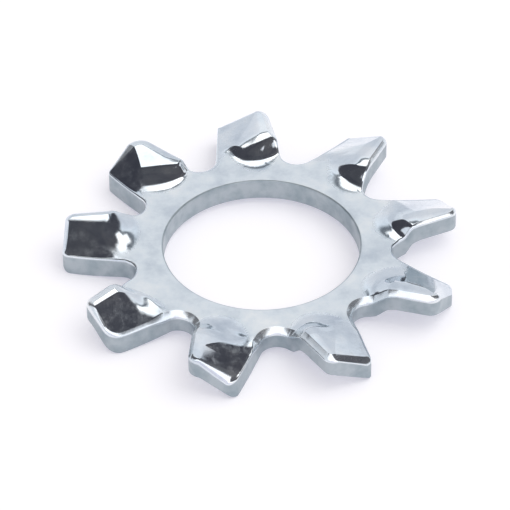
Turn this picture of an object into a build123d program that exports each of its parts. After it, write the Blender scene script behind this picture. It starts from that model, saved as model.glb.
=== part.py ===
from build123d import *
from math import cos, pi, radians, sin, sqrt, tan
import os

# ---------------------------------------------------------------------------
# External-tooth lock washer, one piece of spring steel strip.
# Origin on the screw axis, on the upper face of the flat ring.
# +Z is the side the twisted teeth rise on; one tooth points along +X.
# In a tooth, s is the distance from the screw axis along its centre line and
# w is the distance sideways, from the lowered side (-) to the raised side (+).
# ---------------------------------------------------------------------------

# Overall sizes
bore_diameter = 5.08
tip_diameter = 10.25
stock_thickness = 0.59
tooth_count = 9

# Tooth outline
gullet_diameter = 6.73          # across the bottoms of the gaps between teeth
tip_width = 1.22                # tooth width at the tip, before its corners are rounded
side_taper = radians(9)         # each side leans in toward the tip
raised_corner_radius = 0.28     # plan radius of the tip corner that is bent up
lowered_corner_radius = 0.16    # plan radius of the tip corner that is bent down
corner_turn = radians(72)       # the tip's rounds meet its end face at a slight edge

# Twist of a tooth
raised_height = 0.43            # raised edge of the tooth above the ring
raised_slope = 0.31             # the raised side still climbs toward its edge
rise_start = 3.20               # here the raised side bends sharply up out of the ring
rise_length = 0.72              # and levels out again over this length
entry_length = 1.00             # after a gentle dish that starts at the root
entry_share = 0.20              # part of the climb made in that dish
rise_bow = 0.95                 # the bend line bows outward to both sides of its middle
rise_middle = 0.30              # sideways place of that middle
lowered_depth = 0.17            # lowered tip corner below the ring's upper face
fold_at_root = 0.06             # the fold crosses the tooth from this part of its flat width
fold_at_tip = 0.86              # to this one, from the lowered root corner to the raised tip corner
fold_lead = 0.06                # it leaves the side this far inward of where the side turns straight
fold_easing = 0.10              # and bends gently there

# Upper edges, drawn over by the punch
raised_edge_round = 0.20
lowered_edge_round = 0.07
tip_edge_round = 0.12
gullet_edge_round = 0.18
bore_edge_break = 0.05

seam_tolerance = 0.002          # teeth and ring meet within this

# How finely a tooth is drawn
root_sections = 6               # sections of the tooth along its share of a gap's arc
body_sections = 11              # from there to where the tip's corners start to turn
tip_sections = 6                # and round those corners
line_points = 5                 # points on each curved line of a section


# --- Outline of one tooth --------------------------------------------------
# A gap between teeth is one full round arc, tangent to the sides of both teeth.
bore_radius = bore_diameter / 2
tip_radius = tip_diameter / 2
gullet_radius = gullet_diameter / 2
half_pitch = pi / tooth_count
half_tip = tip_width / 2

side_offset = tip_radius * sin(side_taper) + half_tip * cos(side_taper)
gap_centre = (gullet_radius - side_offset) / (1 - sin(half_pitch + side_taper))
gap_round = gap_centre - gullet_radius
gap_centre_s = gap_centre * cos(half_pitch)
gap_centre_w = gap_centre * sin(half_pitch)
side_start = gap_centre_s - gap_round * sin(side_taper)
root_start = gullet_radius * cos(half_pitch)


def corner_cut(s, radius):
    """Width or height taken off by a rounded corner at the tip."""
    into = max(0.0, s - (tip_radius - radius * sin(corner_turn)))
    return radius - sqrt(max(0.0, radius**2 - into**2))


def half_width(s, corner_radius, inset=0.0):
    """Distance from the tooth's centre line to its side, or to a line inset from it."""
    reach = gap_round + inset
    if s < gap_centre_s - reach * sin(side_taper):
        return gap_centre_w - sqrt(reach**2 - (gap_centre_s - s) ** 2)
    straight = half_tip + (tip_radius - s) * tan(side_taper) - inset / cos(side_taper)
    return straight - corner_cut(s, corner_radius)


# --- Height of the twisted tooth -------------------------------------------
# The raised side bends up out of the ring in an S. A facet runs down from it to
# the lowered side, and the two meet in a crisp fold across the tooth.
fold_start = side_start - fold_lead


def ease(x):
    """From 0 to 1 with level ends."""
    x = min(1.0, max(0.0, x))
    return x * x * (3 - 2 * x)


def raised_top(s, w):
    """Upper face of the raised side."""
    bow = rise_bow * (w - rise_middle) ** 2
    sheet = max(0.0, raised_height + raised_slope * (w - half_tip))
    entry = entry_share * ease((s - root_start - bow) / entry_length)
    rise = (1 - entry_share) * ease((s - rise_start - bow) / rise_length)
    return sheet * (entry + rise)


def lowered_edge(s):
    """Height of the lowered side's edge, falling away from the root and levelling out."""
    along = max(0.0, s - fold_start) / (tip_radius - fold_start)
    return -lowered_depth * (1 - (1 - along) ** 2)


def fold_share(s):
    """Where the fold crosses the tooth, as a part of its flat width."""
    along = (s - fold_start) / (tip_radius - fold_start)
    eased = (along + sqrt(along**2 + fold_easing**2)) / (1 + sqrt(1 + fold_easing**2))
    return fold_at_root + (fold_at_tip - fold_at_root) * eased


# --- One tooth as sections square to its length ----------------------------
def row(start, end, count):
    """Evenly spaced values from start to end."""
    return [start + (end - start) * k / (count - 1) for k in range(count)]


def edge_round(s, corner_radius, radius, height):
    """Points of a rounded upper edge, from the flat face out to the wall of the side."""
    points = []
    for turn in row(0, pi / 2, line_points):
        across = half_width(s, corner_radius, radius * (1 - sin(turn)))
        points.append((across, height - radius * (1 - cos(turn))))
    return points


def section(s):
    """Closed outline of the tooth at s: lowered side, facet, fold, raised side, underside."""
    grown = ease((s - root_start) / (side_start + raised_edge_round - root_start))
    high_round = gullet_edge_round + (raised_edge_round - gullet_edge_round) * grown
    low_round = gullet_edge_round + (lowered_edge_round - gullet_edge_round) * grown
    tip_drop = corner_cut(s, tip_edge_round)
    low = -half_width(s, lowered_corner_radius)
    high = half_width(s, raised_corner_radius)
    low_in = -half_width(s, lowered_corner_radius, low_round)
    high_in = half_width(s, raised_corner_radius, high_round)

    fold = low_in + fold_share(s) * (high_in - low_in)
    fold_top = (fold, raised_top(s, fold) - tip_drop)
    low_height = lowered_edge(s) - tip_drop
    low_share = (low_in - low) / (fold - low)
    low_edge = (low_in, low_height + (fold_top[1] - low_height) * low_share)
    low_roll = [(-w, up) for w, up in edge_round(s, lowered_corner_radius, low_round, low_edge[1])]
    high_edge = raised_top(s, high_in) - tip_drop
    high_roll = edge_round(s, raised_corner_radius, high_round, high_edge)

    # the tooth is sheared up and down, so its upright thickness stays the stock's
    under = [(w, raised_top(s, w) - stock_thickness) for w in row(high, fold, line_points)]
    low_under = (low, lowered_edge(s) - stock_thickness)

    runs = [
        [low_under, low_roll[-1]],
        low_roll[::-1],
        [low_edge, fold_top],
        [(w, raised_top(s, w) - tip_drop) for w in row(fold, high_in, line_points)],
        high_roll,
        [high_roll[-1], under[0]],
        under,
        [under[-1], low_under],
    ]
    edges = []
    for points in runs:
        placed = [Vector(s, -across, up) for across, up in points]
        if len(placed) == 2:
            edges.append(Edge.make_line(placed[0], placed[1]))
        else:
            edges.append(Edge.make_spline(placed, parameters=row(0, 1, len(placed))))
    return Wire(edges)


gap_turns = row(half_pitch, pi / 2 - side_taper, root_sections)
stations = [gap_centre_s - gap_round * cos(turn) for turn in gap_turns]
body_end = tip_radius - raised_corner_radius * sin(corner_turn)
stations += row(side_start, body_end, body_sections)[1:]
stations += [body_end + raised_corner_radius * sin(turn) for turn in row(0, corner_turn, tip_sections)[1:]]
tooth = Solid.make_loft([section(s) for s in stations])

# --- Ring: a nine-sided blank with a tooth on each side ---------------------
# The punch draws the upper edge of each gap down in a round, here and in the teeth.
blank = RegularPolygon(gullet_radius, tooth_count, rotation=180 / tooth_count)
washer = extrude(blank, -stock_thickness)
# This ring-shaped cutter is turned about a gap's centre, and each gap gets one.
roll_out = gap_round + gullet_edge_round
with BuildPart() as roll:
    with BuildSketch(Plane.XZ):
        with BuildLine():
            foot = (gap_round, -gullet_edge_round)
            Polyline((roll_out, 0), (roll_out, stock_thickness), (0, stock_thickness), (0, foot[1]), foot)
            JernArc(start=foot, tangent=(0, 1), radius=gullet_edge_round, arc_size=-90)
        make_face()
    revolve(axis=Axis.Z)
pitch = 360 / tooth_count
turns = [pitch * k for k in range(tooth_count)]
washer = washer.cut(*[roll.part.moved(Rot(0, 0, turn + pitch / 2) * Pos(gap_centre, 0, 0)) for turn in turns])
washer = washer.fuse(*[tooth.rotate(Axis.Z, turn) for turn in turns], tol=seam_tolerance)

# The bore is sheared through and its upper edge is just broken.
bore = extrude(Circle(bore_radius), stock_thickness, both=True)
mouth = Pos(0, 0, -bore_edge_break / 2) * Cone(bore_radius, bore_radius + bore_edge_break, bore_edge_break)
washer = washer.cut(bore, mouth)

os.makedirs("parts", exist_ok=True)
export_step(washer, "parts/lock_washer.step")
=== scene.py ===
import math

import bpy
from mathutils import Matrix, Vector


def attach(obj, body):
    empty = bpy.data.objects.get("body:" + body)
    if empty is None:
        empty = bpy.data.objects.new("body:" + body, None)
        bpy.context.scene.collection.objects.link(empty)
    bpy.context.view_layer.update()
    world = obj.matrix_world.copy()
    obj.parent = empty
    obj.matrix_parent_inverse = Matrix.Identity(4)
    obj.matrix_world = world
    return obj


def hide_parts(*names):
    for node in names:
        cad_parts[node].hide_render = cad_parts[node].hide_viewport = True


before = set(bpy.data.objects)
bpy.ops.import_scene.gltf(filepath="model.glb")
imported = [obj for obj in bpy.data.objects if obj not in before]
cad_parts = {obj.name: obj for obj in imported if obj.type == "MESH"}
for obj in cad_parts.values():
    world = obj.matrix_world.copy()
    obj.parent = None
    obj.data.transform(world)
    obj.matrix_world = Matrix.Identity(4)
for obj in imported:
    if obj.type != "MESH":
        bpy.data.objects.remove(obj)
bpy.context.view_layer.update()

# --- Lock washer: the blank's outline --------------------------------------
# One piece of spring steel strip, pierced for the screw and blanked with nine teeth
# round its outer edge. Sizes are in millimetres, in a tooth's own frame: s runs from
# the screw's axis out along the tooth, w across it to the side that is bent up.
mm = 0.001
teeth = 9
bore_radius = 2.54
gullet_radius = 3.365
tip_radius = 5.125
stock = 0.59
half_tip = 0.61
side_taper = math.radians(9)
sign = {"lowered": -1, "raised": 1}

# a gap between teeth is one round arc, tangent to the sides of both teeth
half_pitch = math.pi / teeth
side_offset = tip_radius * math.sin(side_taper) + half_tip * math.cos(side_taper)
gap_centre = (gullet_radius - side_offset) / (1 - math.sin(half_pitch + side_taper))
gap_round = gap_centre - gullet_radius
gap_s = gap_centre * math.cos(half_pitch)
gap_w = gap_centre * math.sin(half_pitch)
side_start = gap_s - gap_round * math.sin(side_taper)
root_half = half_tip + (tip_radius - side_start) * math.tan(side_taper)

# how many points stand along each stretch of the outline
gap_steps = 18
side_steps = {"lowered": 44, "raised": 40}
corner_steps = {"lowered": 6, "raised": 10}
last = gap_steps + side_steps["raised"] + corner_steps["raised"]


def mix(a, b, t):
    return a + (b - a) * t


def mix_each(a, b, t):
    return tuple(mix(x, y, t) for x, y in zip(a, b))


def ease(t):
    """From 0 to 1 with level ends."""
    t = min(1.0, max(0.0, t))
    return t * t * (3 - 2 * t)


def side_outline(side, tip, tip_half, radius):
    """Points (s, w) from the bottom of the gap out to the flat tip, each with its way outward."""
    lean = math.atan2(root_half - tip_half, tip_radius - side_start)
    points = []
    for k in range(gap_steps):
        turn = mix(half_pitch, math.pi / 2 - side_taper, k / gap_steps)
        out = (math.cos(turn), math.sin(turn))
        points.append((gap_s - gap_round * out[0], gap_w - gap_round * out[1], *out))
    # the corner's round is tangent to the tapered side and to the flat tip
    centre_s = tip - radius
    centre_w = tip_half + (tip_radius - centre_s) * math.tan(lean) - radius / math.cos(lean)
    out = (math.sin(lean), math.cos(lean))
    for k in range(side_steps[side]):
        s = mix(side_start, centre_s + radius * out[0], k / side_steps[side])
        points.append((s, tip_half + (tip_radius - s) * math.tan(lean), *out))
    for k in range(corner_steps[side] + 1):
        turn = mix(lean, math.pi / 2, k / corner_steps[side])
        out = (math.sin(turn), math.cos(turn))
        points.append((centre_s + radius * out[0], centre_w + radius * out[1], *out))
    return [(s, sign[side] * w, out_s, sign[side] * out_w) for s, w, out_s, out_w in points]


# --- Lock washer: the twist of a tooth --------------------------------------
# A press bends each tooth about its length: one side climbs out of the ring through a
# dish with an S section, the other dips, and the two flats meet in a crisp fold.
lowered_depth = 0.168        # how far the lowered tip corner dips
fold_start = side_start - 0.06
fold_at_root = 0.06          # share of the tooth's width where the fold starts
flat_middle = 4.3            # the middle of the raised flat
crown_soft = 0.08            # the raised flat levels off over about this width
ground_soft = 0.03           # and runs into the ring's level over about this height
lip_spread = 1.25            # a lip eases out over this much of its length
riser_lead = 0.75            # and the steep riser sets in at this much of it
ramp_soft = 0.22             # share of a lip that is rounded at each end
hinge_length = 0.9           # the fold's rounding fades over this length from the root
sharp_fold = 0.005           # and is nothing below this radius

# What a tooth is unless its own row says otherwise. A round or chamfer is given as how
# wide and how deep it is, how much of it is a flat chamfer, and how burnished it is. A
# line of the dish is given as where it crosses the tooth, the sideways place of its
# middle, how far it bows from there, and how it slants.
drawn_gap = (0.06, 0.05, 0.0, 0.85)
drawn_tip = (0.16, 0.14, 0.0, 0.85)
usual = {
    "tip_half": half_tip,                  # half the width at the tip
    "climb": (0.21, 0.40),                 # height of the raised flat in its middle, and its slope
    "climb_out": 0.0,                      # its slope outward along the tooth
    "crown": (0.42, 1.0),                  # where the flat levels off, and how fully
    "dish_start": (2.97, 0.22, 0.95, 0.0),
    "dish_end": (4.09, 0.13, 1.06, 0.0),
    "dish_least": 0.2,                     # the dish is at least this long
    "lips": (0.32, 0.32),                  # shares of the dish in its near and far lips
    "lip_height": 0.075,
    "fold_at_tip": 0.95,                   # share of the tooth's width where the fold ends
    "fold_bend": 1.0,                      # 1 for a straight fold
    "fold_most": 0.95,                     # the fold never passes this share
    "hinge": 0.02,                         # radius of the fold at its root
    "lowered_corner": 0.20,                # plan radius of each tip corner
    "raised_corner": 0.28,
    "lowered_gap": drawn_gap,
    "raised_gap": drawn_gap,
    "lowered_side": drawn_gap,
    "raised_side": (0.32, 0.20, 0.0, 0.85),
    "lowered_tip": drawn_tip,
    "raised_tip": drawn_tip,
}

# The press has a station for each tooth and no two are worn alike, so each tooth has a
# row of its own, counted anticlockwise from the one that points along +X. Two teeth have
# the same round in the gap between them.
worn_gap = (0.15, 0.17, 0.8, 0.55)
dull_gap = (0.13, 0.09, 0.0, 0.4)
crisp = (0.03, 0.03, 0.0, 0.85)
rows_of_teeth = {
    0: {
        "tip_half": 0.66,
        "climb": (0.225, 0.36),
        "dish_start": (2.97, 0.20, 1.50, 0.0),
        "dish_end": (4.12, 0.32, 0.95, 0.0),
        "dish_least": 0.58,
        "lips": (0.45, 0.42),
        "lip_height": 0.095,
        "hinge": 0.10,
        "lowered_corner": 0.10,
        "lowered_gap": dull_gap,
        "raised_side": (0.20, 0.16, 0.8, 0.4),
    },
    1: {
        "climb": (0.28, 0.12),
        "climb_out": 0.12,
        "dish_start": (3.17, 0.15, 0.75, 0.0),
        "dish_end": (4.07, 0.0, 0.0, -0.8),
        "dish_least": 0.3,
        "lips": (0.40, 0.20),
        "fold_at_tip": 0.98,
        "fold_bend": 1.15,
        "raised_corner": 0.42,
        "raised_gap": dull_gap,
        "lowered_side": crisp,
        "raised_side": (0.28, 0.10, 0.0, 0.1),
        "lowered_tip": (0.10, 0.08, 0.0, 0.5),
        "raised_tip": (0.28, 0.12, 0.0, 0.1),
    },
    2: {
        "climb": (0.225, 0.42),
        "crown": (0.19, 0.65),
        "dish_start": (3.20, 0.1, 0.4, 0.0),
        "lips": (0.25, 0.25),
        "fold_bend": 1.2,
        "fold_most": 0.84,
        "hinge": 0.30,
        "lowered_corner": 0.25,
        "lowered_side": crisp,
        "raised_side": (0.28, 0.20, 0.0, 0.85),
        "lowered_tip": (0.12, 0.13, 0.4, 0.85),
        "raised_tip": (0.12, 0.13, 0.4, 0.85),
    },
    3: {
        "climb": (0.22, 0.36),
        "crown": (0.20, 0.5),
        "dish_start": (3.50, 0.0, 0.3, 0.3),
        "dish_end": (4.25, 0.0, 0.0, 0.0),
        "lips": (0.1, 0.3),
        "fold_at_tip": 1.08,
        "fold_bend": 0.3,
        "fold_most": 0.88,
        "lowered_corner": 0.40,
        "lowered_gap": worn_gap,
        "lowered_side": (0.08, 0.08, 0.9, 0.6),
        "raised_side": (0.28, 0.17, 0.0, 0.3),
        "lowered_tip": (0.10, 0.12, 0.0, 0.85),
        "raised_tip": (0.10, 0.12, 0.0, 0.5),
    },
    4: {
        "climb": (0.21, 0.32),
        "climb_out": 0.08,
        "fold_at_tip": 1.28,
        "fold_most": 0.80,
        "lowered_corner": 0.25,
        "lowered_gap": worn_gap,
        "raised_gap": worn_gap,
        "lowered_side": crisp,
        "raised_side": (0.11, 0.13, 0.8, 0.4),
        "lowered_tip": (0.32, 0.16, 0.3, 0.85),
        "raised_tip": (0.10, 0.12, 0.0, 0.85),
    },
    5: {
        "lowered_gap": worn_gap,
        "raised_gap": worn_gap,
        "lowered_side": (0.14, 0.10, 0.3, 0.8),
        "raised_side": (0.12, 0.17, 0.8, 0.5),
        "lowered_tip": (0.17, 0.15, 0.8, 0.85),
        "raised_tip": (0.17, 0.15, 0.8, 0.85),
    },
    6: {
        "lowered_corner": 0.26,
        "raised_gap": worn_gap,
        "raised_side": (0.12, 0.14, 0.85, 0.45),
    },
    7: {
        "lips": (0.45, 0.40),
        "lip_height": 0.09,
        "lowered_corner": 0.30,
        "raised_side": (0.07, 0.09, 0.8, 0.7),
    },
    8: {
        "climb": (0.20, 0.45),
        "dish_start": (2.90, 0.50, 1.10, 0.0),
        "lips": (0.45, 0.42),
        "lip_height": 0.118,
        "hinge": 0.10,
        "lowered_corner": 0.12,
        "raised_side": (0.10, 0.12, 0.6, 0.4),
    },
}
own = {}                     # the row of the tooth that is being modelled


def ramp_up(t):
    """A straight ramp from 0 to 1 whose two ends are rounded."""
    t = min(1.0, max(0.0, t))
    if t > 0.5:
        return 1 - ramp_up(1 - t)
    grown = t * t / (2 * ramp_soft) if t < ramp_soft else t - ramp_soft / 2
    return grown / (1 - ramp_soft)


def dish_place(s, w):
    """How far through the dish: 0 at its near rim and 1 where the raised flat starts."""
    place, middle, bow, slant = own["dish_start"]
    start = place + slant * w + bow * (w - middle) ** 2
    place, middle, bow, slant = own["dish_end"]
    end = place + slant * w - bow * min(w - middle, 0) ** 2
    return (s - start) / max(own["dish_least"], end - start)


def sheet_height(s, w):
    """Upper face of the raised side: a gentle lip, the steep riser, and a lip again."""
    centre, slope = own["climb"]
    reach, levelled = own["crown"]
    held = w - levelled * crown_soft * math.log1p(math.exp((w - reach) / crown_soft))
    sheet = centre + slope * held + own["climb_out"] * (s - flat_middle)
    sheet = (sheet + math.hypot(sheet, ground_soft)) / 2
    lip = sheet * own["lip_height"] / (sheet + own["lip_height"])
    near, far = own["lips"]
    t = dish_place(s, w)
    first = lip * ramp_up(t / (lip_spread * near))
    second = lip * ramp_up((t - 1) / (lip_spread * far) + 1)
    riser = ease((t - riser_lead * near) / (1 - riser_lead * (near + far)))
    return first + second + (sheet - 2 * lip) * riser


def fold_share(s):
    """Where the fold crosses the tooth, as a part of its width."""
    along = max(0.0, s - fold_start) / (tip_radius - fold_start)
    share = mix(fold_at_root, own["fold_at_tip"], along ** own["fold_bend"])
    return min(share, own["fold_most"])


def lowered_height(s):
    """Height of the lowered side's edge, falling away from the root and levelling out."""
    along = max(0.0, s - fold_start) / (tip_radius - fold_start)
    return -lowered_depth * (1 - (1 - along) ** 2)


def side_line(s, side):
    """Plan distance from the tooth's centre line to its side."""
    if s < side_start:
        into = max(gap_round**2 - (gap_s - s) ** 2, 0.0)
        return sign[side] * (gap_w - math.sqrt(into))
    return sign[side] * mix(root_half, own["tip_half"], (s - side_start) / (tip_radius - side_start))


def fold_line(s):
    """Plan distance from the tooth's centre line to the fold."""
    low = side_line(s, "lowered") + own["lowered_side"][0]
    high = side_line(s, "raised") - own["raised_side"][0]
    return mix(low, high, fold_share(s))


def crisp_height(s, w):
    """Upper face of the twisted tooth, with the fold quite sharp."""
    low, fold = side_line(s, "lowered"), fold_line(s)
    if s < gullet_radius * math.cos(half_pitch) or w > fold:
        return sheet_height(s, w)
    return mix(lowered_height(s), sheet_height(s, fold), (w - low) / (fold - low))


def top_height(s, w):
    """Upper face of the tooth before its edges are drawn over, with the fold rounded at its root."""
    hinge = own["hinge"] * (1 - ease((s - side_start) / hinge_length))
    if hinge < sharp_fold:
        return crisp_height(s, w)
    around = [math.radians(turn) for turn in range(0, 360, 45)]
    heights = [crisp_height(s + hinge * math.cos(turn), w + hinge * math.sin(turn)) for turn in around]
    return sum(heights) / len(heights)


# --- Lock washer: one pitch, modelled as a mesh ------------------------------
# A grid is laid over the top of one pitch, from the hole to the tip. Its outer edge is
# drawn down in the punch's round and on as the sheared wall, and its inner edge as the
# hole's wall, and a copy of the top closes the underside.
inner_corner = 0.05          # a tip corner's plan radius exceeds its round by at least this
side_round_from = 1.2        # the gap's round starts to turn into the side's at this many gaps' points
side_round_over = 0.9        # and does so over this many
bore_break = 0.05            # the hole's edges are broken by this much
foot_break = 0.025           # and the outline's lower edge by this
fold_round = 0.02            # the columns beside the fold are this far from it
same_point = 0.0005          # points this close are one point

ring_steps = 13
facet_shares = (0, 0.03, 0.08, 0.16, 0.25, 0.35, 0.45, 0.55, 0.65, 0.75, 0.84, 0.92, 0.97)
sheet_shares = (0.03, 0.07, 0.12, 0.17, 0.23, 0.29, 0.35, 0.41, 0.47, 0.53)
sheet_shares += (0.59, 0.65, 0.71, 0.77, 0.83, 0.89, 0.94, 0.98, 1)
columns = len(facet_shares) + 3 + len(sheet_shares) - 1
rows = ring_steps + last

roll_turns = [math.radians(turn) for turn in (6, 15, 26, 38, 51, 65, 78, 90)]
wall_shares = (0.08, 0.36, 0.64, 0.92, 1)
foot_turns = [math.radians(turn) for turn in (45, 90)]
# the hole's section, as how far out of the bore and how far down each line is
hole_section = [(0.03, 0.004), (0.013, 0.017), (0.003, 0.035), (0, 0.055)]
hole_section += [(0, 0.2), (0, 0.35), (0, 0.5), (0, stock - 0.02), (0.006, stock - 0.005)]
hole_section += [(0.02, stock), (bore_break, stock)]

outline = {}                 # each side's outline in plan, for the tooth that is being modelled
inner = {}                   # and where the flat of the upper face ends there


def roll_at(side, k):
    """The round at that point of the outline: its width, depth, chamfered share and burnish."""
    grown = ease((k / gap_steps - side_round_from) / side_round_over)
    turned = ease((k - gap_steps - side_steps[side]) / corner_steps[side])
    along = mix_each(own[side + "_gap"], own[side + "_side"], grown)
    width, *rest = along
    return width, *mix_each(rest, own[side + "_tip"][1:], turned)


def inner_outline(side):
    """Where the flat of the upper face ends and its drawn-over round begins."""
    width, tip_width = own[side + "_side"][0], own[side + "_tip"][0]
    radius = max(width + inner_corner, own[side + "_corner"] - tip_width + width)
    line = side_outline(side, tip_radius - tip_width + width, own["tip_half"], radius)
    widths = [roll_at(side, k)[0] for k in range(len(line))]
    return [(s - out_s * width, w - out_w * width) for (s, w, out_s, out_w), width in zip(line, widths)]


def take_tooth(tooth):
    """Sets the shape of that tooth, as its station of the press leaves it."""
    own.update(usual)
    own.update(rows_of_teeth[tooth])
    for side in sign:
        outline[side] = side_outline(side, tip_radius, own["tip_half"], own[side + "_corner"])
        inner[side] = inner_outline(side)


def across(row, share):
    """Plan place on the row that joins the two sides' points of that number."""
    left, right = inner["lowered"][row], inner["raised"][row]
    turn = mix(math.atan2(left[1], left[0]), math.atan2(right[1], right[0]), share)
    reach = mix(math.hypot(*left), math.hypot(*right), share)
    bent = (reach * math.cos(turn), reach * math.sin(turn))
    straight = ease(row / gap_steps)
    return mix_each(bent, mix_each(left, right, share), straight)


def column_shares(row):
    """Shares across a row, close together beside the fold."""
    left, right = across(row, 0), across(row, 1)
    fold = fold_share(mix(left[0], right[0], 0.5))
    close = fold_round / (right[1] - left[1])
    shares = [fold * share * (1 - close / fold) for share in facet_shares]
    shares += [fold - close, fold, fold + close]
    shares += [fold + close + (1 - fold - close) * share for share in sheet_shares]
    return shares


def top_plan(row, column):
    """Plan place of a grid point: on the ring, or past it on the tooth."""
    if row >= ring_steps:
        share = column_shares(row - ring_steps)[column]
        return across(row - ring_steps, share)
    share = column_shares(0)[column]
    turn = mix(-half_pitch, half_pitch, share)
    reach = mix(math.hypot(*inner["lowered"][0]), math.hypot(*inner["raised"][0]), share)
    radius = mix(bore_radius + bore_break, reach, row / ring_steps)
    return radius * math.cos(turn), radius * math.sin(turn)


def tool_marks(s, w):
    """How much the press has burnished the facet, and the dish, at that place."""
    # the facet is bright up to the fold, and from just past its root
    facet = ease((fold_line(s) - w) / 0.15) * ease((s - side_start) / 0.3)
    # the dish is bright from just before its rim, but not in the lowered half of the ring
    dish = ease(dish_place(s, w) / 0.2 + 0.55) * ease((w + 0.75) / 0.4) * ease((s - 2.7) / 0.4)
    return facet, dish


def edit(piece, mode):
    """Only that piece selected, in that select mode, with nothing selected in it."""
    bpy.ops.object.select_all(action="DESELECT")
    piece.select_set(True)
    bpy.context.view_layer.objects.active = piece
    bpy.ops.object.mode_set(mode="EDIT")
    bpy.ops.mesh.select_mode(type=mode)
    bpy.ops.mesh.select_all(action="DESELECT")
    bpy.ops.object.mode_set(mode="OBJECT")


def select_edges(piece, ends):
    """Selects the edges that join these pairs of vertices."""
    wanted = {tuple(sorted(pair)) for pair in ends}
    edit(piece, "EDGE")
    for each in piece.data.edges:
        each.select = tuple(sorted(each.vertices)) in wanted


def draw_out(piece, place, step, **finish):
    """Extrudes the selected edges and puts each new vertex where its number and the step say."""
    bpy.ops.object.mode_set(mode="EDIT")
    bpy.ops.mesh.extrude_region_move()
    bpy.ops.object.mode_set(mode="OBJECT")
    numbers = piece.data.attributes["number"].data
    for vertex in piece.data.vertices:
        if vertex.select:
            number = numbers[vertex.index].value
            vertex.co = place(number, step)
            for name, value in finish.items():
                shown = value(number) if callable(value) else value
                piece.data.attributes[name].data[vertex.index].value = shown


def put(s, w, z):
    """A place in the tooth's frame, in millimetres, as one in the washer's frame."""
    return Vector((s * mm, -w * mm, z * mm))


def number_at(row, column):
    return row * (columns + 1) + column


def outer_path():
    """Numbers of the top's outer vertices: out along the lowered side, over the tip, back in."""
    lowered = [number_at(row, 0) for row in range(ring_steps, rows)]
    tip = [number_at(rows, column) for column in range(columns + 1)]
    raised = [number_at(row, columns) for row in range(rows - 1, ring_steps - 1, -1)]
    return lowered + tip + raised


def edge_at(number):
    """For an outer vertex: its own place, the outline's place beside it, and its round."""
    row, column = divmod(number, columns + 1)
    row -= ring_steps
    side = "lowered" if column == 0 else "raised"
    if row < last or column in (0, columns):
        return inner[side][row], outline[side][row][:2], roll_at(side, row)
    share = column_shares(last)[column]
    w = mix(outline["lowered"][last][1], outline["raised"][last][1], share)
    return across(last, share), (tip_radius, w), mix_each(own["lowered_tip"], own["raised_tip"], share)


def burnish_at(number):
    return edge_at(number)[2][3]


def on_round(number, turn):
    """On the drawn-over round, that far round it."""
    start, edge, (_, depth, chamfered, _) = edge_at(number)
    out = math.sin(turn)
    drop = depth * mix(1 - math.cos(turn), out, chamfered)
    return put(*mix_each(start, edge, out), top_height(*start) - drop)


def on_wall(number, share):
    """On the sheared wall, that share of the way down it."""
    start, edge, (_, depth, _, _) = edge_at(number)
    foot = top_height(*edge) - stock + foot_break
    return put(*edge, mix(top_height(*start) - depth, foot, share))


def on_foot(number, turn):
    """On the outline's broken lower edge, that far round it."""
    start, edge, _ = edge_at(number)
    inward = foot_break * (1 - math.cos(turn)) / math.dist(start, edge)
    foot = top_height(*edge) - stock
    return put(*mix_each(edge, start, inward), foot + foot_break * (1 - math.sin(turn)))


def on_underside(number, down):
    """Straight below an outer vertex of the top."""
    start = edge_at(number)[0]
    return put(*start, top_height(*start) - down)


def on_hole(number, line):
    """On that line of the hole's section."""
    out, down = line
    s, w = top_plan(0, number)
    scale = (bore_radius + out) / math.hypot(s, w)
    return put(s * scale, w * scale, -down)


def make_pitch(tooth):
    take_tooth(tooth)
    bpy.ops.mesh.primitive_grid_add(x_subdivisions=columns, y_subdivisions=rows, size=2 * mm)
    piece = bpy.context.object
    piece.data.attributes.new("number", "INT", "POINT")
    for name in ("burnished", "scuffed", "sheared"):
        piece.data.attributes.new(name, "FLOAT", "POINT")
    numbers = piece.data.attributes["number"].data
    burnished = piece.data.attributes["burnished"].data
    scuffed = piece.data.attributes["scuffed"].data
    for vertex in piece.data.vertices:
        numbers[vertex.index].value = vertex.index
        s, w = top_plan(*divmod(vertex.index, columns + 1))
        vertex.co = put(s, w, top_height(s, w))
        facet, dish = tool_marks(s, w)
        burnished[vertex.index].value = max(facet, dish)
        scuffed[vertex.index].value = mix(0.25, 1.0, facet)

    # the underside is the same sheet, one thickness down
    edit(piece, "FACE")
    for face in piece.data.polygons:
        face.select = True
    bpy.ops.object.mode_set(mode="EDIT")
    bpy.ops.mesh.duplicate()
    bpy.ops.mesh.flip_normals()
    bpy.ops.transform.translate(value=(0, 0, -stock * mm))
    bpy.ops.object.mode_set(mode="OBJECT")
    for vertex in piece.data.vertices:
        if vertex.select:
            piece.data.attributes["burnished"].data[vertex.index].value = 0.0
            piece.data.attributes["scuffed"].data[vertex.index].value = 0.0

    # drawn-over round, sheared wall and broken lower edge
    path = outer_path()
    select_edges(piece, zip(path, path[1:]))
    for turn in roll_turns:
        draw_out(piece, on_round, turn, burnished=burnish_at, scuffed=0.2, sheared=0.0)
    for share in wall_shares:
        draw_out(piece, on_wall, share, burnished=0.0, sheared=1.0)
    for turn in foot_turns:
        draw_out(piece, on_foot, turn)
    draw_out(piece, on_underside, stock, scuffed=0.0, sheared=0.0)

    # the hole's wall, which is plain strip again at its last line
    select_edges(piece, [(column, column + 1) for column in range(columns)])
    for line in hole_section:
        cut = 1.0 if line != hole_section[-1] else 0.0
        draw_out(piece, on_hole, line, burnished=0.0, scuffed=0.0, sheared=cut)

    piece.data.transform(Matrix.Rotation(2 * half_pitch * tooth, 4, "Z"))
    return piece


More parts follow.
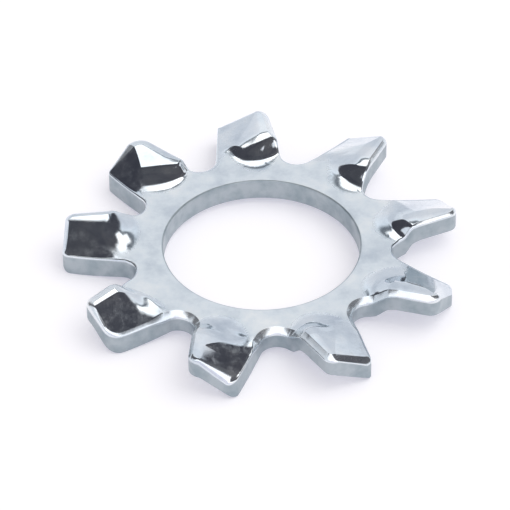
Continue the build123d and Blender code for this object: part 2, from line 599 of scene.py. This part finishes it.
pitches = [make_pitch(tooth) for tooth in range(teeth)]
bpy.ops.object.select_all(action="DESELECT")
for pitch in pitches:
    pitch.select_set(True)
washer = pitches[0]
bpy.context.view_layer.objects.active = washer
bpy.ops.object.join()
washer.name = "washer"
washer.data.name = "washer"
bpy.ops.object.mode_set(mode="EDIT")
bpy.ops.mesh.select_mode(type="VERT")
bpy.ops.mesh.select_all(action="SELECT")
bpy.ops.mesh.remove_doubles(threshold=same_point * mm)
bpy.ops.mesh.normals_make_consistent(inside=False)
bpy.ops.object.mode_set(mode="OBJECT")
bpy.ops.object.shade_smooth_by_angle(angle=math.radians(35))


# --- Lock washer: bright zinc plate ------------------------------------------
# Zinc, electroplated about 8 microns thick and passivated blue-white. It is satin on the
# strip's own face, mirror bright where the tool burnished it and grainy on the sheared walls.
def hex_colour(code):
    """An sRGB hex colour as the linear one that a shader takes."""
    levels = [int(code[k : k + 2], 16) / 255 for k in (0, 2, 4)]
    linear = [v / 12.92 if v <= 0.04045 else ((v + 0.055) / 1.055) ** 2.4 for v in levels]
    return (*linear, 1.0)


def add(tree, kind, links, stops=(), **settings):
    """Adds a node. links holds a value, a node or an output for its inputs, in order or by name,
    stops a ramp's places and colours, and settings the node's properties."""
    node = tree.nodes.new("ShaderNode" + kind)
    for name, value in settings.items():
        setattr(node, name, value)
    while stops and len(node.color_ramp.elements) < len(stops):
        node.color_ramp.elements.new(1.0)
    for k, (place, code) in enumerate(stops):
        node.color_ramp.elements[k].position = place
        node.color_ramp.elements[k].color = hex_colour(code)
    inputs = [socket for socket in node.inputs if socket.enabled]
    if isinstance(links, dict):
        named = {socket.name: socket for socket in inputs}
        inputs = [named[name] for name in links]
        links = links.values()
    for socket, value in zip(inputs, links):
        if isinstance(value, bpy.types.Node):
            value = next(output for output in value.outputs if output.enabled)
        if isinstance(value, bpy.types.NodeSocket):
            tree.links.new(value, socket)
        else:
            socket.default_value = value
    return node


zinc = bpy.data.materials.new("bright_zinc_plate")
zinc.use_nodes = True
plate = zinc.node_tree
plate.nodes.clear()
spot = add(plate, "TexCoord", {}).outputs["Object"]
burnished = add(plate, "Attribute", {}, attribute_name="burnished").outputs["Fac"]
rubbed = add(plate, "Attribute", {}, attribute_name="scuffed").outputs["Fac"]
sheared = add(plate, "Attribute", {}, attribute_name="sheared").outputs["Fac"]

# clouds of the passivation, 1.3 mm across on the strip's faces and 0.5 mm on the walls
cloud = add(plate, "TexNoise", {"Vector": spot, "Scale": 1 / (1.3 * mm), "Detail": 5.0, "Roughness": 0.62})
tone = add(plate, "ValToRGB", [cloud], stops=[(0.32, "c6cfd9"), (0.50, "e1e8ee"), (0.66, "f0f3f5")])
haze = add(plate, "TexNoise", {"Vector": spot, "Scale": 1 / (0.5 * mm), "Detail": 4.0, "Roughness": 0.6})
# the sheared walls get a darker blue-grey than the faces: partly their duller sheared finish, partly
# painted shade that darkens every wall
wall_tone_and_shade = add(plate, "ValToRGB", [haze], stops=[(0.35, "9ba8b0"), (0.6, "b5bec4")])
colour = add(plate, "Mix", {"Factor": sheared, "A": tone, "B": wall_tone_and_shade}, data_type="RGBA")

# the tool's scuffs, 0.3 mm blotches with fine streaks where the burnished faces are duller
marks = {"Vector": spot, "Scale": 1 / (0.32 * mm), "Detail": 7.0, "Roughness": 0.72}
scuff = add(plate, "TexNoise", marks)
scuff = add(plate, "MapRange", {"Value": scuff, "From Min": 0.46, "From Max": 0.72})
scuff = add(plate, "Math", [scuff, rubbed], operation="MULTIPLY")
satin = add(plate, "Mix", {"Factor": cloud, "A": 0.24, "B": 0.44})
mirror = add(plate, "Mix", {"Factor": scuff, "A": 0.08, "B": 0.26})
smooth = add(plate, "Mix", {"Factor": burnished, "A": satin, "B": mirror})
rough = add(plate, "Mix", {"Factor": sheared, "A": smooth, "B": 0.38})
bare = add(plate, "Mix", {"Factor": scuff, "A": 1.0, "B": 0.93})
metal = add(plate, "Mix", {"Factor": burnished, "A": 0.72, "B": bare})

# crystals of the plate, drawn 0.05 mm wide to show at all, on the strip's gentle lumps
grain = add(plate, "TexNoise", {"Vector": spot, "Scale": 1 / (0.05 * mm), "Detail": 2.0, "Roughness": 0.5})
lumps = add(plate, "TexNoise", {"Vector": spot, "Scale": 1 / (0.35 * mm), "Detail": 3.0, "Roughness": 0.5})
relief = add(plate, "Math", [grain, 0.35, lumps], operation="MULTIPLY_ADD")
pressed = add(plate, "Mix", {"Factor": burnished, "A": 1.0, "B": 0.45})
relief = add(plate, "Math", [relief, pressed], operation="MULTIPLY")
bump = add(plate, "Bump", {"Height": relief, "Strength": 0.2, "Distance": 0.01 * mm})
finish = {"Base Color": colour, "Metallic": metal, "Roughness": rough, "Normal": bump}
add(plate, "OutputMaterial", [add(plate, "BsdfPrincipled", finish)])
washer.data.materials.append(zinc)
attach(washer, "root")
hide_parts("lock_washer")

# --- Floor: white card -------------------------------------------------------
# A sheet of matt white card under the washer. It shows white to the camera and in the
# metal, and keeps the washer's soft shadow. To all other light it is a plain pale card.
low = min(vertex.co.z for vertex in washer.data.vertices)
bpy.ops.mesh.primitive_plane_add(size=2, location=(0, 0, low))
floor = bpy.context.object
floor.name = "floor"
card = bpy.data.materials.new("white_card")
card.use_nodes = True
paper = card.node_tree
paper.nodes.clear()
ray = add(paper, "LightPath", {})
matt = {"Base Color": hex_colour("e6e6e8"), "Roughness": 0.9, "Specular IOR Level": 0.0}
plain_card = add(paper, "BsdfPrincipled", matt)
lit = add(paper, "BsdfDiffuse", {"Color": hex_colour("e0dfde")})
glow = add(paper, "Emission", {"Color": hex_colour("9a98a2"), "Strength": 1.0})
white_card = add(paper, "AddShader", [lit, glow])
mirrored = [ray.outputs["Is Glossy Ray"], ray.outputs["Is Transmission Ray"]]
direct = add(paper, "Math", mirrored, operation="MAXIMUM")
direct = add(paper, "Math", [direct, ray.outputs["Is Camera Ray"]], operation="MAXIMUM")
add(paper, "OutputMaterial", [add(paper, "MixShader", [direct, plain_card, white_card])])
floor.data.materials.append(card)

# --- Studio: a white tent under a dark ceiling --------------------------------
# A pale tent stands round the washer with a bright strip light along its top edge, and the
# ceiling above it is dark. The camera and the metal see it: the rest gets plain white light.
far_turn = math.radians(-5.5)
studio = bpy.data.worlds.new("studio")
bpy.context.scene.world = studio
studio.use_nodes = True
sky = studio.node_tree
sky.nodes.clear()
way = add(sky, "TexCoord", {}).outputs["Generated"]
way = add(sky, "Mapping", {"Vector": way, "Rotation": (0, 0, -far_turn)})
far, left, high = add(sky, "SeparateXYZ", [way]).outputs

# Stops run along a flat ceiling, from the near side at 0 over the washer at 0.5 to the far
# side at 1. The strip bends back a little at its ends, and past them the tent is plain.
level = add(sky, "Math", [high, 0.001], operation="MAXIMUM")
along = add(sky, "Math", [far, level], operation="DIVIDE")
aside = add(sky, "Math", [left, level], operation="DIVIDE")
aside = add(sky, "Math", [aside], operation="ABSOLUTE")
place = add(sky, "MapRange", {"Value": along, "From Min": -2.0, "From Max": 2.0})
bend = add(sky, "MapRange", {"Value": aside, "From Min": 0.4, "From Max": 0.6, "To Max": 0.06})
place = add(sky, "Math", [place, bend], operation="ADD")
near_tent = [(0.12, "c4c1cb"), (0.20, "f2f2f6"), (0.30, "ffffff"), (0.37, "f0f0f4")]
ceiling = [(0.395, "3f3f43"), (0.60, "3a3a3f")]
strip = [(0.630, "ffffff"), (0.695, "ffffff")]
shade = [(0.714, "585c62"), (0.745, "62676d")]
far_tent = [(0.772, "c8cdd2"), (0.80, "c6cacf"), (0.86, "bdbfc4"), (1.0, "b1b4ba")]
overhead = add(sky, "ValToRGB", [place], stops=near_tent + ceiling + strip + shade + far_tent)
past_ends = add(sky, "MapRange", {"Value": aside, "From Min": 1.6, "From Max": 2.0})
tent = add(sky, "Mix", {"Factor": past_ends, "A": overhead, "B": hex_colour("bec1c6")}, data_type="RGBA")

# Dark openings in the tent's walls: from and to these turns from the far side, above this
# height, with soft borders.
openings = [(-66, -37.5, 0.38, 0.05), (-100, -62, 0.22, 0.05), (39.5, 86, 0.15, 0.03)]
round_it = add(sky, "Math", [left, far], operation="ARCTAN2")
dark = 0.0
for start, end, sill, soft in openings:
    start, end = math.radians(start), math.radians(end)
    inside = add(sky, "MapRange", [round_it, start, start + soft])
    before_end = add(sky, "MapRange", [round_it, end - soft, end, 1.0, 0.0])
    above = add(sky, "MapRange", [high, sill, sill + 0.06])
    for border in (before_end, above):
        inside = add(sky, "Math", [inside, border], operation="MULTIPLY")
    dark = add(sky, "Math", [dark, inside], operation="MAXIMUM")
seen = add(sky, "Mix", {"Factor": dark, "A": tent, "B": hex_colour("36363c")}, data_type="RGBA")
seen = add(sky, "VectorMath", [seen, 1.6], operation="SCALE")

# everything but the metal and the camera gets an even light with more from the near top
toward = add(sky, "VectorMath", [way, (0.05, -0.50, 0.86)], operation="DOT_PRODUCT")
toward = add(sky, "Math", [toward, 0.0], operation="MAXIMUM")
beam = add(sky, "Math", [toward, 6.0], operation="POWER")
plain = add(sky, "Math", [beam, 1.8, 0.6], operation="MULTIPLY_ADD")
ray = add(sky, "LightPath", {})
mirrored = [ray.outputs["Is Glossy Ray"], ray.outputs["Is Transmission Ray"]]
direct = add(sky, "Math", mirrored, operation="MAXIMUM")
direct = add(sky, "Math", [direct, ray.outputs["Is Camera Ray"]], operation="MAXIMUM")
light = add(sky, "Mix", {"Factor": direct, "A": plain, "B": seen}, data_type="RGBA")
add(sky, "OutputWorld", [add(sky, "Background", {"Color": light, "Strength": 1.0})])

# --- Camera --------------------------------------------------------------------
# A long lens about 10 cm away, looking down on the washer past one tooth on its far side.
elevation = math.radians(40.7)
roll = math.radians(-0.417)
washer_right, washer_above, distance = 0.172, 0.2925, 101.6    # where the camera sees the washer's centre
to_right = Vector((math.sin(far_turn), -math.cos(far_turn), 0))
to_far = Vector((math.cos(far_turn), math.sin(far_turn), 0))
upright = Vector((0, 0, 1))
forward = to_far * math.cos(elevation) - upright * math.sin(elevation)
rise = to_far * math.sin(elevation) + upright * math.cos(elevation)
camera_right = to_right * math.cos(roll) + rise * math.sin(roll)
camera_up = rise * math.cos(roll) - to_right * math.sin(roll)
stand = -(washer_right * camera_right + washer_above * camera_up + distance * forward) * mm
data = bpy.data.cameras.new("camera")
data.sensor_width = 36
data.lens = 278.26
data.clip_start = 0.001
data.clip_end = 10
camera = bpy.data.objects.new("camera", data)
bpy.context.scene.collection.objects.link(camera)
facing = Matrix((camera_right, camera_up, -forward)).transposed()
camera.matrix_world = Matrix.Translation(stand) @ facing.to_4x4()
bpy.context.scene.camera = camera
bpy.context.scene.view_settings.view_transform = "Standard"
